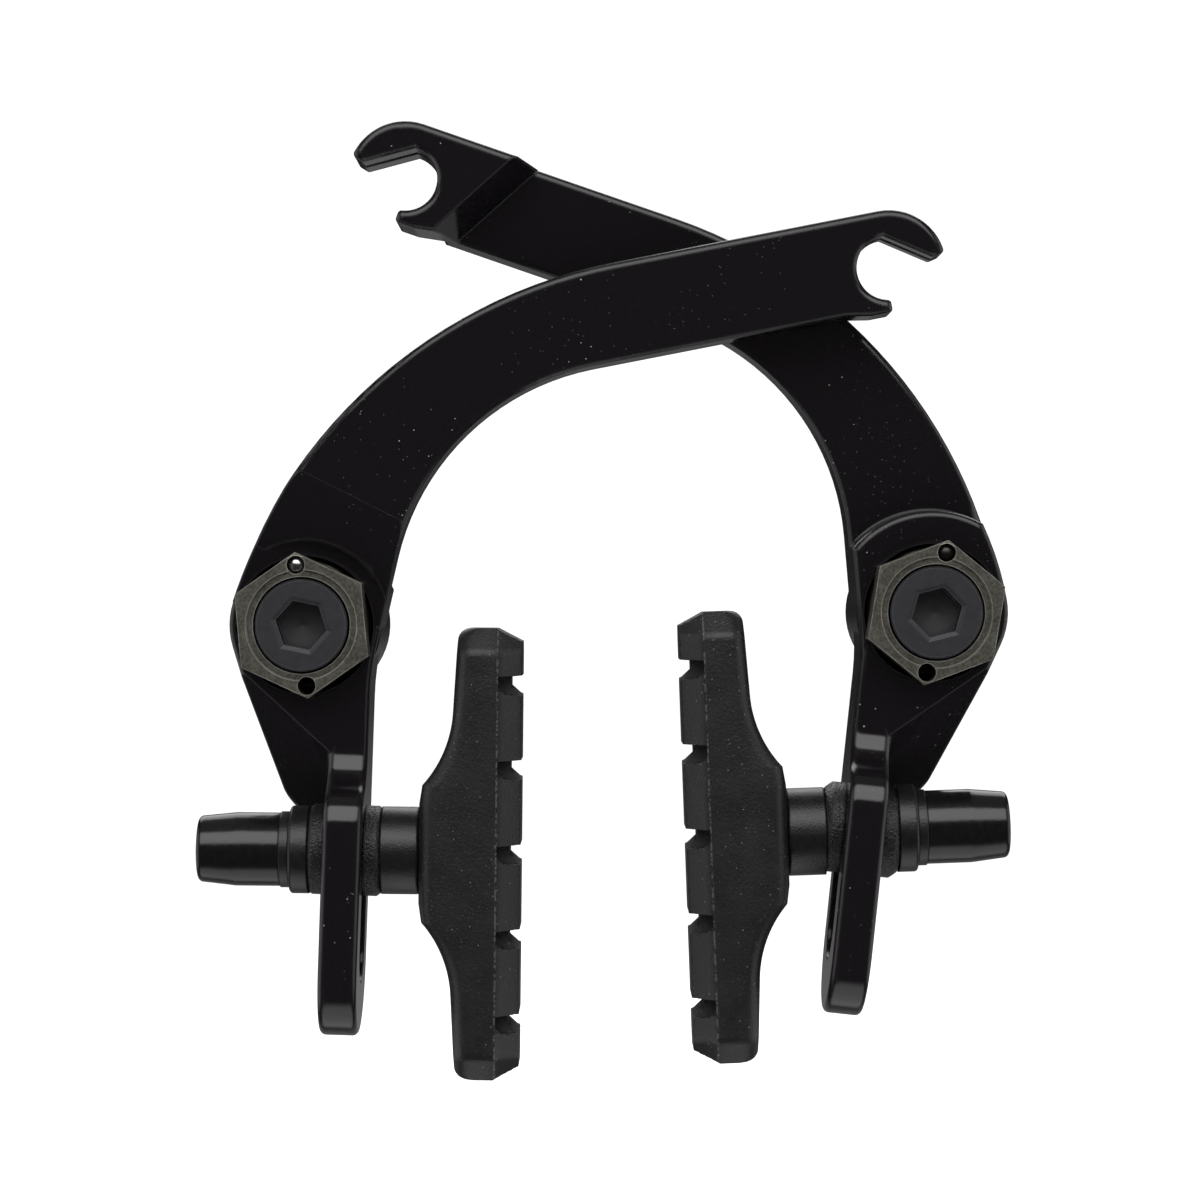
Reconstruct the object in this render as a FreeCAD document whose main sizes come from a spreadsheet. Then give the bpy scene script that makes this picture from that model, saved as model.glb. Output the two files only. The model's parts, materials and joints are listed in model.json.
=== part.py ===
import FreeCAD, Part
import math
import os
import re
from FreeCAD import Placement, Rotation, Vector

# A bicycle U-brake: two crossed arms on two frame studs, each with its return spring, tension nut,
# pivot bolt and bush, and a brake pad on a threaded post held in the arm's slotted ear.
# Millimetres. X is across the bicycle, Z is up, and -Y is forward, away from the frame.
# The origin is midway between the two pivots, on the plane where the arms meet the frame.

SIZES = (
    ("stud_spacing", 70.0, "between the two pivot axes"),
    ("front_arm_turn", -3.1, "degrees, how the front arm hangs from its drawn position"),
    ("rear_arm_turn", 7.2, "degrees, the same for the rear arm"),
    ("front_pad_camber", 1.4, "degrees, lean of the front arm's pad in its ball seat"),
    ("rear_pad_camber", -8.1, "degrees, the same for the rear arm's pad"),
    ("front_nut_turn", 4.0, "degrees, how far the tension nut's corner is from straight up"),
    ("rear_nut_turn", -10.5, "degrees, the same for the rear arm"),
    ("boss_radius", 8.45, "pivot boss outside"),
    ("boss_length", 18.0, "pivot boss along the stud"),
    ("bore_radius", 5.6, "arm bore that turns on the bush"),
    ("cavity_depth", 7.0, "spring chamber from the boss face"),
    ("boss_top", 11.4, "radius of the rear arm's raised boss face above the pivot"),
    ("web_top", 10.2, "radius of the front arm's web above the pivot, behind the bar"),
    ("web_outer_radius", 33.5, "outer edge of that raised face"),
    ("bar_thickness", 7.0, "upper arm"),
    ("front_bar_back", 13.6, "rear face of the front arm's bar"),
    ("bar_gap", 0.8, "between the two crossed bars"),
    ("bar_angle", 13.0, "degrees, slope of the straight end of the bar"),
    ("seat_across", 63.5, "pivot to hook seat, across"),
    ("seat_up", 41.8, "pivot to hook seat, up"),
    ("seat_radius", 3.55, "hook seat"),
    ("hook_radius", 6.4, "outside of the hook"),
    ("jaw_offset", 2.95, "upper jaw's inner face from the seat centre"),
    ("jaw_lean", 56.0, "degrees, normal of that face"),
    ("tip_width", 1.4, "blunt end of the upper jaw"),
    ("tip_rise", 4.5, "degrees, that end's outer corner above the bar's line"),
    ("lip_length", 2.8, "flared part of the lower lip"),
    ("lip_drop", 4.43, "lower edge of the bar below the seat centre"),
    ("lip_flare", 0.5, "how far the lower lip flares below that edge"),
    ("lip_reach", 0.45, "lower lip stops short of the seat centre"),
    ("outer_radius", 55.9, "outer edge of the arm"),
    ("inner_radius", 28.0, "inner edge of the arm"),
    ("inner_reach", 9.45, "pivot to the nearest point of the inner edge's circle"),
    ("waist_lean", 11.0, "degrees, inner edge beside the pivot"),
    ("waist_radius", 30.0, "where that edge runs into the ear"),
    ("flank_lean", 18.8, "degrees, outer edge below the pivot"),
    ("web_end", 25.5, "lowest point of the web below the pivot"),
    ("edge_round", 0.7, "rounding of the arm's edges"),
    ("tip_round", 0.45, "rounding of the hook's tips"),
    ("cable_groove", 1.4, "slot for the cable in the hook, width"),
    ("cable_groove_depth", 0.9, "slot for the cable in the hook, depth"),
    ("hook_rise", 6.5, "rear arm's hook stands forward of its bar"),
    ("hook_relief", 4.0, "rear arm's hook is cut back behind"),
    ("hook_ramp", 2.2, "length of the ramp up to that hook"),
    ("ramp_base", 9.7, "foot of the ramp from the seat, along the bar"),
    ("relief_base", 8.2, "start of the cut behind that hook from the seat, along the bar"),
    ("ramp_lean", 29.3, "degrees, slant of the ramp across the bar"),
    ("scoop_inner", 9.5, "flat around the front arm's nut"),
    ("scoop_across", 3.64, "crease where the bar starts to fall to that flat, across"),
    ("scoop_up", 15.09, "crease where the bar starts to fall to that flat, up"),
    ("scoop_drop", 24.6, "degrees, fall of that crease"),
    ("scoop_lean", 15.0, "degrees, slant of the falling face"),
    ("facet_top_across", 4.5, "slanting face of the web, upper end outside the pivot"),
    ("facet_top_down", 7.35, "slanting face of the web, upper end below the pivot"),
    ("facet_drop", 40.7, "degrees, fall of that face's edge"),
    ("facet_lean", 50.0, "degrees, slant of that face to the rear"),
    ("ear_across", 5.35, "ear's middle from the pivot, across"),
    ("ear_thickness", 4.3, "ear plate"),
    ("ear_width", 15.5, "ear plate, front to rear"),
    ("ear_front", 24.0, "front edge of the ear from the frame plane"),
    ("ear_shoulder", 13.3, "where the ear starts to flare forward, below the pivot"),
    ("ear_flare", 9.0, "height of that flare"),
    ("slot_width", 7.4, "pad slot"),
    ("slot_travel", 11.0, "pad slot, travel of the post"),
    ("post_drop", 25.0, "pad post below the pivot, at the top of its slot"),
    ("ear_tail", 9.7, "lowest post position to the end of the ear"),
    ("bolt_radius", 3.0, "pivot bolt's thread"),
    ("bolt_shoulder_radius", 3.4, "pivot bolt's plain shoulder under its head"),
    ("bolt_head_radius", 5.1, "pivot bolt head"),
    ("bolt_head_height", 3.2, "pivot bolt head"),
    ("bolt_head_round", 0.5, "rim of that head"),
    ("bolt_tip_bevel", 0.3, "end of the shank"),
    ("key_across", 5.0, "hexagon key socket across flats"),
    ("key_depth", 2.6, "hexagon key socket"),
    ("bush_wall", 1.2, "pivot bush"),
    ("bush_play", 0.2, "between bush and arm bore"),
    ("bush_length", 12.9, "pivot bush along the stud"),
    ("nut_across", 14.0, "tension nut across flats"),
    ("nut_height", 4.15, "tension nut's hexagon"),
    ("nut_gap", 0.25, "between the tension nut and the boss face"),
    ("nut_face_radius", 7.5, "flat of the tension nut's front face"),
    ("nut_bevel", 0.35, "bevel on the nut's corners"),
    ("nut_ring_radius", 6.1, "recess in the front face"),
    ("nut_ring_depth", 0.4, "recess in the front face"),
    ("nut_seat_depth", 3.0, "counterbore for the bolt head"),
    ("nut_seat_play", 0.25, "around the bolt head"),
    ("nut_bore_play", 0.2, "around the bolt's shoulder"),
    ("collar_gap", 0.1, "between nut collar and bush"),
    ("spring_radius", 6.7, "middle of the spring wire"),
    ("wire_radius", 0.75, "spring wire"),
    ("wire_end_radius", 0.72, "straight ends of the wire, ground a little slimmer"),
    ("spring_turns", 3.0, "whole turns"),
    ("spring_hole_play", 0.25, "around the wire in the nut"),
    ("foot_hole_play", 0.1, "around the wire in the arm"),
    ("spring_room", 0.2, "around the coil in its chamber"),
    ("spring_foot", 2.6, "wire in the arm's hole"),
    ("wire_end_recess", 0.4, "wire end below the nut's face"),
    ("spring_float", 0.1, "coil from its chamber's ends"),
    ("post_radius", 3.0, "pad post"),
    ("post_play", 0.2, "around the post in cups and washer"),
    ("post_end", 13.2, "outer end of the post from the ball centre"),
    ("post_flange_radius", 5.4, "head of the post moulded into the pad"),
    ("post_flange", 2.0, "thickness of that head"),
    ("post_flange_cover", 2.6, "rubber between that head and the pad's back"),
    ("ball_radius", 6.2, "ball of the two seat washers"),
    ("ball_play", 0.15, "between ball and cup"),
    ("ball_washer_radius", 5.05, "ball washer outside"),
    ("ball_bore_radius", 4.1, "ball washer bore"),
    ("washer_float", 0.03, "between flat faces that turn on each other"),
    ("cup_radius", 4.9, "cup washers outside"),
    ("cup_round", 0.4, "edges of the turned washers"),
    ("outer_cup_face", 6.2, "outer cup's flat face from the ball centre"),
    ("spacer_face", 8.35, "spacer cup's flat face from the ball centre"),
    ("flat_washer_radius", 4.25, "plain washer"),
    ("flat_washer_height", 1.0, "plain washer"),
    ("barrel_radius", 4.1, "barrel nut outside"),
    ("barrel_length", 9.2, "barrel nut"),
    ("barrel_taper_length", 4.2, "tapered end of the barrel nut"),
    ("barrel_end_radius", 3.65, "end of that taper"),
    ("barrel_round", 0.6, "rim of that end"),
    ("barrel_socket_depth", 3.0, "key socket of the barrel nut"),
    ("thread_play", 0.05, "between post and barrel nut"),
    ("pad_length", 50.0, "pad end to end"),
    ("pad_depth", 13.0, "pad front to rear"),
    ("pad_back", 12.45, "pad's back at its ends from the ball centre"),
    ("pad_root", 12.0, "pad's back where it starts to thicken"),
    ("pad_face", 19.6, "braking face from the ball centre"),
    ("pad_boss_half", 5.5, "half height of the pad's thick middle"),
    ("pad_sweep_start", 15.6, "where the pad starts to thicken, from its middle"),
    ("pad_sweep_end", 7.6, "where that sweep ends, from the pad's middle"),
    ("pad_sweep_back", 8.7, "where that sweep ends, from the ball centre"),
    ("pad_corner", 1.3, "back corners of the pad"),
    ("pad_edge", 0.6, "rounding of the pad's long edges"),
    ("end_bevel_in", 2.86, "bevel on the pad's ends, along the post"),
    ("end_bevel_up", 1.43, "bevel on the pad's ends, along the pad"),
    ("face_bevel_in", 2.65, "bevel beside the braking face, along the post"),
    ("face_bevel_side", 2.2, "bevel beside the braking face, front to rear"),
    ("groove_pitch", 9.36, "water grooves"),
    ("groove_width", 2.0, "water grooves"),
    ("groove_depth", 1.25, "water grooves in the middle of the face"),
    ("groove_end_depth", 2.6, "water grooves where they meet the bevels"),
)
GROOVE_STEPS = (-2, -1, 0, 1, 2)

doc = FreeCAD.newDocument("u_brake")
sheet = doc.addObject("Spreadsheet::Sheet", "Sizes")
for row, (alias, value, note) in enumerate(SIZES, start=1):
    sheet.set(f"A{row}", note)
    sheet.set(f"B{row}", str(value))
    sheet.setAlias(f"B{row}", alias)
doc.recompute()


def size(alias):
    return float(sheet.get(alias))


def expr(text):
    """Point every size's name in an expression at its cell in the sheet."""
    return re.sub(r"[a-z]+(_[a-z]+)+", lambda found: "Sizes." + found.group(), text)


def bind(item, **formulas):
    for prop, text in formulas.items():
        item.setExpression(prop, expr(text))
    return item


def lift(item, height):
    item.setExpression("Placement.Base.z", expr(height))
    return item


# Turned and cut pieces. Each runs along its own axis from one height to another.

def cylinder(name, radius, start, end):
    item = doc.addObject("Part::Cylinder", name)
    bind(item, Radius=radius, Height=f"({end}) - ({start})")
    return lift(item, start)


def cone(name, start_radius, end_radius, start, end):
    item = doc.addObject("Part::Cone", name)
    bind(item, Radius1=start_radius, Radius2=end_radius, Height=f"({end}) - ({start})")
    return lift(item, start)


def hexagon(name, across, start, end, turn=0.0):
    item = doc.addObject("Part::Prism", name)
    item.Polygon = 6
    bind(item, Circumradius=f"({across}) / {math.sqrt(3)}", Height=f"({end}) - ({start})")
    item.Placement.Rotation = Rotation(Vector(0, 0, 1), turn)
    return lift(item, start)


def ball(name, radius):
    return bind(doc.addObject("Part::Sphere", name), Radius=radius)


def fuse(name, *shapes):
    item = doc.addObject("Part::MultiFuse", name)
    item.Shapes = list(shapes)
    item.Refine = True
    return item


def common(name, *shapes):
    item = doc.addObject("Part::MultiCommon", name)
    item.Shapes = list(shapes)
    return item


def cut(name, base, *tools):
    item = doc.addObject("Part::Cut", name)
    item.Base = base
    item.Tool = tools[0] if len(tools) == 1 else fuse(name + "_tools", *tools)
    return item


def rounded(name, base, radius, wanted):
    """Round the edges of a piece that the test picks out."""
    doc.recompute()
    item = doc.addObject("Part::Fillet", name)
    item.Base = base
    item.Edges = [(number, radius, radius)
                  for number, edge in enumerate(base.Shape.Edges, start=1) if wanted(edge)]
    doc.recompute()
    return item


def circle_edge_at(height, radius):
    """Test for a round edge of one radius at one height on the axis."""
    def wanted(edge):
        box = edge.BoundBox
        flat = box.ZLength < 1e-4 and abs(box.ZMin - height) < 1e-3
        return flat and abs(box.XMax - radius) < 1e-3
    return wanted


def sketch(name, curves, turn=Rotation(), level="0", aside="0"):
    item = doc.addObject("Sketcher::SketchObject", name)
    for points in curves:
        item.addGeometry(Part.Arc(*points) if len(points) == 3 else Part.LineSegment(*points), False)
    item.Placement = Placement(Vector(), turn)
    item.setExpression("Placement.Base.x", expr(aside))
    return lift(item, level)


def extrude(name, profile, length, symmetric=False):
    item = doc.addObject("Part::Extrusion", name)
    item.Base = profile
    item.DirMode = "Normal"
    item.Solid = True
    item.Symmetric = symmetric
    return bind(item, LengthFwd=length)


# Plane geometry for the outlines.

def polar(centre, radius, degrees):
    angle = math.radians(degrees)
    return Vector(centre.x + radius * math.cos(angle), centre.y + radius * math.sin(angle), 0)


def line(start, end):
    return start, end


def arc(start, centre, end, turning=1):
    """Arc from one point to another about a centre: 1 turns left, -1 turns right."""
    radius = (start - centre).Length
    first = math.atan2(start.y - centre.y, start.x - centre.x)
    last = math.atan2(end.y - centre.y, end.x - centre.x)
    sweep = (last - first) * turning % (2 * math.pi)
    middle = first + turning * sweep / 2
    through = Vector(centre.x + radius * math.cos(middle), centre.y + radius * math.sin(middle), 0)
    return start, through, end


def mirrored(curves, side):
    """The same outline for the arm on the other side."""
    return [tuple(Vector(side * point.x, point.y, 0) for point in curve) for curve in curves]


def line_meets_circle(point, direction, centre, radius):
    """Where a line, followed in its direction, leaves a circle."""
    offset = point - centre
    half = offset.dot(direction)
    reach = math.sqrt(half * half - offset.dot(offset) + radius * radius)
    return point + direction * (reach - half)


def circles_meet(first, first_radius, second, second_radius):
    """The two crossings of two circles."""
    gap = second - first
    span = gap.Length
    along = (span * span + first_radius ** 2 - second_radius ** 2) / (2 * span)
    across = math.sqrt(first_radius ** 2 - along * along)
    ahead = gap * (1 / span)
    aside = Vector(-ahead.y, ahead.x, 0) * across
    return first + ahead * along + aside, first + ahead * along - aside


def sweep_between(start, end):
    """Two equal arcs that carry an upright edge sideways, from the upper point to the lower."""
    across = end.x - start.x
    down = start.y - end.y
    turn = 2 * math.atan2(abs(across), down)
    radius = down / (2 * math.sin(turn))
    way = math.copysign(1, across)
    middle = (start + end) * 0.5
    first = Vector(start.x + way * radius, start.y, 0)
    second = Vector(end.x - way * radius, end.y, 0)
    return [arc(start, first, middle, int(way)), arc(middle, second, end, -int(way))]


def arc_from(before, start, end):
    """Arc that carries a downward line on, bending to the right, to an end point."""
    way = (start - before).normalize()
    aside = Vector(way.y, -way.x, 0)
    chord = end - start
    radius = chord.dot(chord) / (2 * chord.dot(aside))
    return arc(start, start + aside * radius, end, -1)


# Key points of the arm, drawn with its pivot at the origin and its ear upright. The bar runs along
# ahead and the hook's seat is its far end; upward is square to the bar.
PIVOT = Vector(0, 0, 0)
FORWARD = Vector(0, 0, 1)
SEAT = Vector(size("seat_across"), size("seat_up"), 0)
AHEAD = polar(PIVOT, 1, size("bar_angle"))
UPWARD = polar(PIVOT, 1, size("bar_angle") + 90)


def from_seat(along, up):
    return SEAT + AHEAD * along + UPWARD * up


# The outer edge is one arc, tangent to the pivot boss and to the top of the hook.
outer_drop = SEAT.dot(UPWARD) + size("hook_radius") - size("outer_radius")
outer_span = size("outer_radius") - size("boss_radius")
OUTER_CENTRE = AHEAD * math.sqrt(outer_span ** 2 - outer_drop ** 2) + UPWARD * outer_drop
OUTER_FOOT = OUTER_CENTRE * (-size("boss_radius") / outer_span)
OUTER_HEAD = OUTER_CENTRE + UPWARD * size("outer_radius")

# The raised face round the rear pivot starts at the same foot and draws in as it rises.
WEB_CENTRE = OUTER_CENTRE * ((size("web_outer_radius") - size("boss_radius")) / outer_span)

# The inner edge is one arc, tangent to the underside of the bar, then a straight waist beside the
# pivot that runs into the ear.
inner_drop = SEAT.dot(UPWARD) - size("lip_drop") - size("inner_radius")
inner_along = (size("inner_reach") + size("inner_radius") - UPWARD.x * inner_drop) / AHEAD.x
INNER_CENTRE = AHEAD * inner_along + UPWARD * inner_drop
INNER_HEAD = INNER_CENTRE + UPWARD * size("inner_radius")
INNER_FOOT = polar(INNER_CENTRE, size("inner_radius"), 180 - size("waist_lean"))
WAIST_WAY = polar(PIVOT, 1, 270 - size("waist_lean"))
ear_inner = size("ear_across") + size("ear_thickness") / 2
ear_outer = size("ear_across") - size("ear_thickness") / 2
WAIST_CORNER = INNER_FOOT + WAIST_WAY * ((ear_inner - INNER_FOOT.x) / WAIST_WAY.x)
waist_cut = size("waist_radius") * math.tan(math.radians(size("waist_lean") / 2))
WAIST_START = WAIST_CORNER - WAIST_WAY * waist_cut
WAIST_END = WAIST_CORNER - Vector(0, waist_cut, 0)
WAIST_CENTRE = WAIST_END + Vector(size("waist_radius"), 0, 0)
WAIST_LEVEL = INNER_FOOT + WAIST_WAY * (INNER_FOOT.y / -WAIST_WAY.y)


# The hook's upper jaw has a straight inner face that ends in a blunt tip; the lower lip is shorter
# and flares a little below the bar.
JAW_NORMAL = polar(PIVOT, 1, size("bar_angle") + size("jaw_lean"))
JAW_WAY = Vector(JAW_NORMAL.y, -JAW_NORMAL.x, 0)
JAW_FOOT = SEAT + JAW_NORMAL * size("jaw_offset")
JAW_ROOT = line_meets_circle(JAW_FOOT, JAW_WAY * -1, SEAT, size("seat_radius"))
TIP_INNER = line_meets_circle(JAW_FOOT, JAW_WAY, SEAT, size("hook_radius") - size("tip_width"))
TIP_OUTER = polar(SEAT, size("hook_radius"), size("bar_angle") + size("tip_rise"))
LIP_START = line_meets_circle(from_seat(-size("lip_reach"), 0), UPWARD * -1, SEAT,
                              size("seat_radius"))
LIP_TIP = from_seat(-size("lip_reach"), -size("lip_drop") - size("lip_flare"))
LIP_HEEL = from_seat(-size("lip_length"), -size("lip_drop") - size("lip_flare"))
LIP_ROOT = from_seat(-2 * size("lip_length"), -size("lip_drop"))
HOOK_TOP = from_seat(0, size("hook_radius"))


def hook_curves(start, end):
    """The hook from the top of the bar, round both jaws, to the underside of the bar."""
    return [
        line(start, HOOK_TOP),
        arc(HOOK_TOP, SEAT, TIP_OUTER, -1),
        line(TIP_OUTER, TIP_INNER),
        line(TIP_INNER, JAW_ROOT),
        arc(JAW_ROOT, SEAT, LIP_START, 1),
        line(LIP_START, LIP_TIP),
        line(LIP_TIP, LIP_HEEL),
        line(LIP_HEEL, LIP_ROOT),
        line(LIP_ROOT, end),
    ]


def bar_curves():
    """Whole upper arm, from the pivot to the hook."""
    return [
        arc(OUTER_FOOT, OUTER_CENTRE, OUTER_HEAD, -1),
        *hook_curves(OUTER_HEAD, INNER_HEAD),
        arc(INNER_HEAD, INNER_CENTRE, INNER_FOOT, 1),
        line(INNER_FOOT, WAIST_LEVEL),
        line(WAIST_LEVEL, OUTER_FOOT),
    ]


def web_curves(top):
    """Raised face round the pivot, up to one radius, and the web that tapers down to the ear."""
    top_outer = circles_meet(WEB_CENTRE, size("web_outer_radius"), PIVOT, size(top))
    top_outer = max(top_outer, key=lambda point: point.y)
    top_inner = line_meets_circle(INNER_FOOT, WAIST_WAY * -1, PIVOT, size(top))
    flank_start = polar(PIVOT, size("boss_radius"), 180 + size("flank_lean"))
    flank_way = polar(PIVOT, 1, 270 + size("flank_lean"))
    flank_end = flank_start + flank_way * ((size("web_end") + flank_start.y) / -flank_way.y)
    web_corner = Vector(ear_inner, flank_end.y, 0)
    return [
        arc(top_inner, PIVOT, top_outer, 1),
        arc(top_outer, WEB_CENTRE, OUTER_FOOT, 1),
        arc(OUTER_FOOT, PIVOT, flank_start, 1),
        line(flank_start, flank_end),
        line(flank_end, web_corner),
        line(web_corner, WAIST_END),
        arc(WAIST_END, WAIST_CENTRE, WAIST_START, -1),
        line(WAIST_START, top_inner),
    ]


# Sketches of the ear and pads stand upright on the axis: their first direction is the axis.
UPRIGHT = Rotation(Vector(0, 1, 0), -90)


def ear_curves():
    """Ear seen from the side: it flares forward of the web and ends in a half round."""
    front = size("ear_front")
    back = front - size("ear_width")
    round_radius = size("ear_width") / 2
    shoulder = -size("ear_shoulder")
    end_level = -(size("post_drop") + size("slot_travel") + size("ear_tail") - round_radius)
    flare_start = Vector(size("boss_length"), shoulder, 0)
    flare_end = Vector(front, shoulder - size("ear_flare"), 0)
    top = shoulder + size("ear_thickness")
    end_centre = Vector(front - round_radius, end_level, 0)
    return [
        line(Vector(back, top, 0), Vector(size("boss_length"), top, 0)),
        line(Vector(size("boss_length"), top, 0), flare_start),
        *sweep_between(flare_start, flare_end),
        line(flare_end, Vector(front, end_level, 0)),
        arc(Vector(front, end_level, 0), end_centre, Vector(back, end_level, 0), -1),
        line(Vector(back, end_level, 0), Vector(back, top, 0)),
    ]


def slot_curves():
    """Slot that the pad's post slides in."""
    half = size("slot_width") / 2
    middle = size("ear_front") - size("ear_width") / 2
    top = Vector(middle, -size("post_drop"), 0)
    low = Vector(middle, -size("post_drop") - size("slot_travel"), 0)
    side = Vector(half, 0, 0)
    return [
        arc(top + side, top, top - side, 1),
        line(top - side, low - side),
        arc(low - side, low, low + side, 1),
        line(low + side, top + side),
    ]


def block(name, corner, along, across, length, width, height, side):
    """Box from one corner and two edge directions, mirrored for the arm on the other side."""
    item = doc.addObject("Part::Box", name)
    if side < 0:
        corner, across, along = (Vector(-v.x, v.y, v.z) for v in (corner, along, across))
        length, width = width, length
    bind(item, Length=length, Width=width, Height=height)
    turn = Rotation(along, across, along.cross(across), "XYZ")
    item.Placement = Placement(corner, turn)
    return item


def slope(name, point, outward, lean, side):
    """Block that cuts a sloping face, from an edge through the point down towards the outside."""
    cosine = math.cos(math.radians(lean))
    sine = math.sin(math.radians(lean))
    down = outward * cosine - FORWARD * sine
    normal = outward * sine + FORWARD * cosine
    along = down.cross(normal)
    corner = point - along * size("outer_radius")
    return block(name, corner, along, down, "2 * outer_radius", "outer_radius", "outer_radius", side)


def tip_edges(side):
    """Test for the upright edges at the tips of the hook."""
    tips = [Vector(side * tip.x, tip.y, 0) for tip in (TIP_OUTER, TIP_INNER, LIP_START, LIP_TIP)]

    def wanted(edge):
        box = edge.BoundBox
        place = Vector(box.XMin, box.YMin, 0)
        upright = box.XLength < 1e-4 and box.YLength < 1e-4
        return upright and any((place - tip).Length < 1e-3 for tip in tips)
    return wanted


def outline_edges(heights, side, closing=None):
    """Test for the outline edges of a flat piece, apart from one that is left sharp."""
    middle = None
    if closing:
        middle = (closing[0] + closing[1]) * 0.5
        middle = Vector(side * middle.x, middle.y, 0)

    def wanted(edge):
        box = edge.BoundBox
        centre = Vector(box.Center.x, box.Center.y, 0)
        level = any(abs(box.ZMin - height) < 1e-3 for height in heights)
        kept = middle is not None and (centre - middle).Length < 1e-3
        return box.ZLength < 1e-4 and level and not kept
    return wanted


def upper_bar(name, side, back, back_level):
    """Flat curved bar from the pivot to the hook, with every edge rounded."""
    outline = sketch(name + "_bar_outline", mirrored(bar_curves(), side), level=back)
    bar = extrude(name + "_bar", outline, "bar_thickness")
    tipped = rounded(name + "_bar_tips", bar, size("tip_round"), tip_edges(side))
    faces = (back_level, back_level + size("bar_thickness"))
    closing = (WAIST_LEVEL, OUTER_FOOT)
    return rounded(name + "_bar_edges", tipped, size("edge_round"),
                   outline_edges(faces, side, closing))


def hook_end_curves(base):
    """The hook alone, cut off from its bar along a slanting line."""
    slant = math.tan(math.radians(size("ramp_lean")))
    top = from_seat(-size(base) - slant * size("hook_radius"), size("hook_radius"))
    low = from_seat(-size(base) + slant * size("lip_drop"), -size("lip_drop"))
    return [*hook_curves(top, low), line(low, top)]


def raised_hook(name, side, back_level):
    """Hook end of the rear arm: it stands forward of its bar, behind a slanting ramp."""
    curves = hook_end_curves("ramp_base")
    back = "front_bar_back - bar_gap - bar_thickness + hook_relief"
    front_level = back_level + size("bar_thickness") + size("hook_rise")
    outline = sketch(name + "_hook_outline", mirrored(curves, side), level=back)
    hook = extrude(name + "_hook", outline, "bar_thickness - hook_relief + hook_rise")
    tipped = rounded(name + "_hook_tips", hook, size("tip_round"), tip_edges(side))
    faces = (back_level + size("hook_relief"), front_level)
    edged = rounded(name + "_hook_edges", tipped, size("edge_round"),
                    outline_edges(faces, side, curves[-1]))
    outward = polar(PIVOT, 1, size("bar_angle") + 180 + size("ramp_lean"))
    edge = from_seat(-size("ramp_base"), 0) - outward * size("hook_ramp") + FORWARD * front_level
    lean = math.degrees(math.atan2(size("hook_rise"), size("hook_ramp")))
    behind = sketch(name + "_relief_outline", mirrored(hook_end_curves("relief_base"), side),
                    level="front_bar_back - bar_gap - bar_thickness")
    relief = extrude(name + "_relief", behind, "hook_relief")
    return cut(name + "_hook_ramped", edged, slope(name + "_ramp", edge, outward, lean, side)), relief


def lower_arm(name, side, top):
    """Web, pivot boss and slotted ear below the bar: the same on both arms."""
    outline = sketch(name + "_web_outline", mirrored(web_curves(top), side), level="ear_front - ear_width")
    web = extrude(name + "_web", outline, "boss_length - ear_front + ear_width")
    faces = (size("boss_length"), size("ear_front") - size("ear_width"))
    edged = rounded(name + "_web_edges", web, size("edge_round"), outline_edges(faces, side))
    drop = size("facet_drop")
    corner = Vector(-size("facet_top_across"), -size("facet_top_down"), size("boss_length"))
    facet = slope(name + "_facet", corner, polar(PIVOT, 1, 270 - drop), size("facet_lean"), side)
    faced = cut(name + "_web_faced", edged, facet)

    boss = cylinder(name + "_boss", "boss_radius", "0", "boss_length - 2 * edge_round")
    boss = rounded(name + "_boss_rim", boss, size("edge_round"),
                   circle_edge_at(0, size("boss_radius")))

    across = f"{side} * ear_across"
    plate = extrude(name + "_ear", sketch(name + "_ear_outline", ear_curves(), UPRIGHT, aside=across),
                    "ear_thickness", symmetric=True)
    top = size("ear_thickness") - size("ear_shoulder")

    def ear_edges(edge):
        box = edge.BoundBox
        return box.XLength < 1e-4 and not (box.YLength < 1e-4 and abs(box.YMax - top) < 1e-3)
    ear = rounded(name + "_ear_edges", plate, size("edge_round"), ear_edges)
    slot = extrude(name + "_slot", sketch(name + "_slot_outline", slot_curves(), UPRIGHT, aside=across),
                   "2 * ear_thickness", symmetric=True)
    return [faced, boss, cut(name + "_ear_slotted", ear, slot)]


def spring_angle(side, nut_turn, arm_turn):
    """Direction of the spring's ends, seen on the drawn arm."""
    return 90 + size(nut_turn) - side * size(arm_turn)


def pivot_tools(name, side, nut_turn, arm_turn):
    """Bore for the bush, chamber for the spring and hole for the spring's foot."""
    bore = cylinder(name + "_bore", "bore_radius", "-edge_round", "boss_length")
    chamber = cylinder(name + "_chamber", "spring_radius + wire_radius + spring_room",
                       "boss_length - cavity_depth", "boss_length + cavity_depth")
    foot = cylinder(name + "_foot_hole", "wire_radius + foot_hole_play",
                    "boss_length - cavity_depth - spring_foot - wire_radius", "boss_length")
    centre = polar(PIVOT, size("spring_radius"), spring_angle(side, nut_turn, arm_turn))
    foot.Placement.Base = Vector(centre.x, centre.y, 0)
    return [bore, chamber, lift(foot, "boss_length - cavity_depth - spring_foot - wire_radius")]


def cable_slot(name, side, middle_level):
    """Narrow slot round the hook's seat and along its upper jaw, for the cable."""
    low = FORWARD * (middle_level - size("cable_groove") / 2)
    ring = doc.addObject("Part::Cylinder", name + "_slot_ring")
    bind(ring, Radius="seat_radius + cable_groove_depth", Height="cable_groove")
    ring.Placement.Base = Vector(side * SEAT.x, SEAT.y, 0) + low
    corner = JAW_ROOT - JAW_NORMAL * size("cable_groove_depth") + low
    jaw = block(name + "_slot_jaw", corner, JAW_WAY, JAW_NORMAL, "hook_radius + seat_radius",
                "2 * cable_groove_depth", "cable_groove", side)
    return [ring, jaw]


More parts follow.
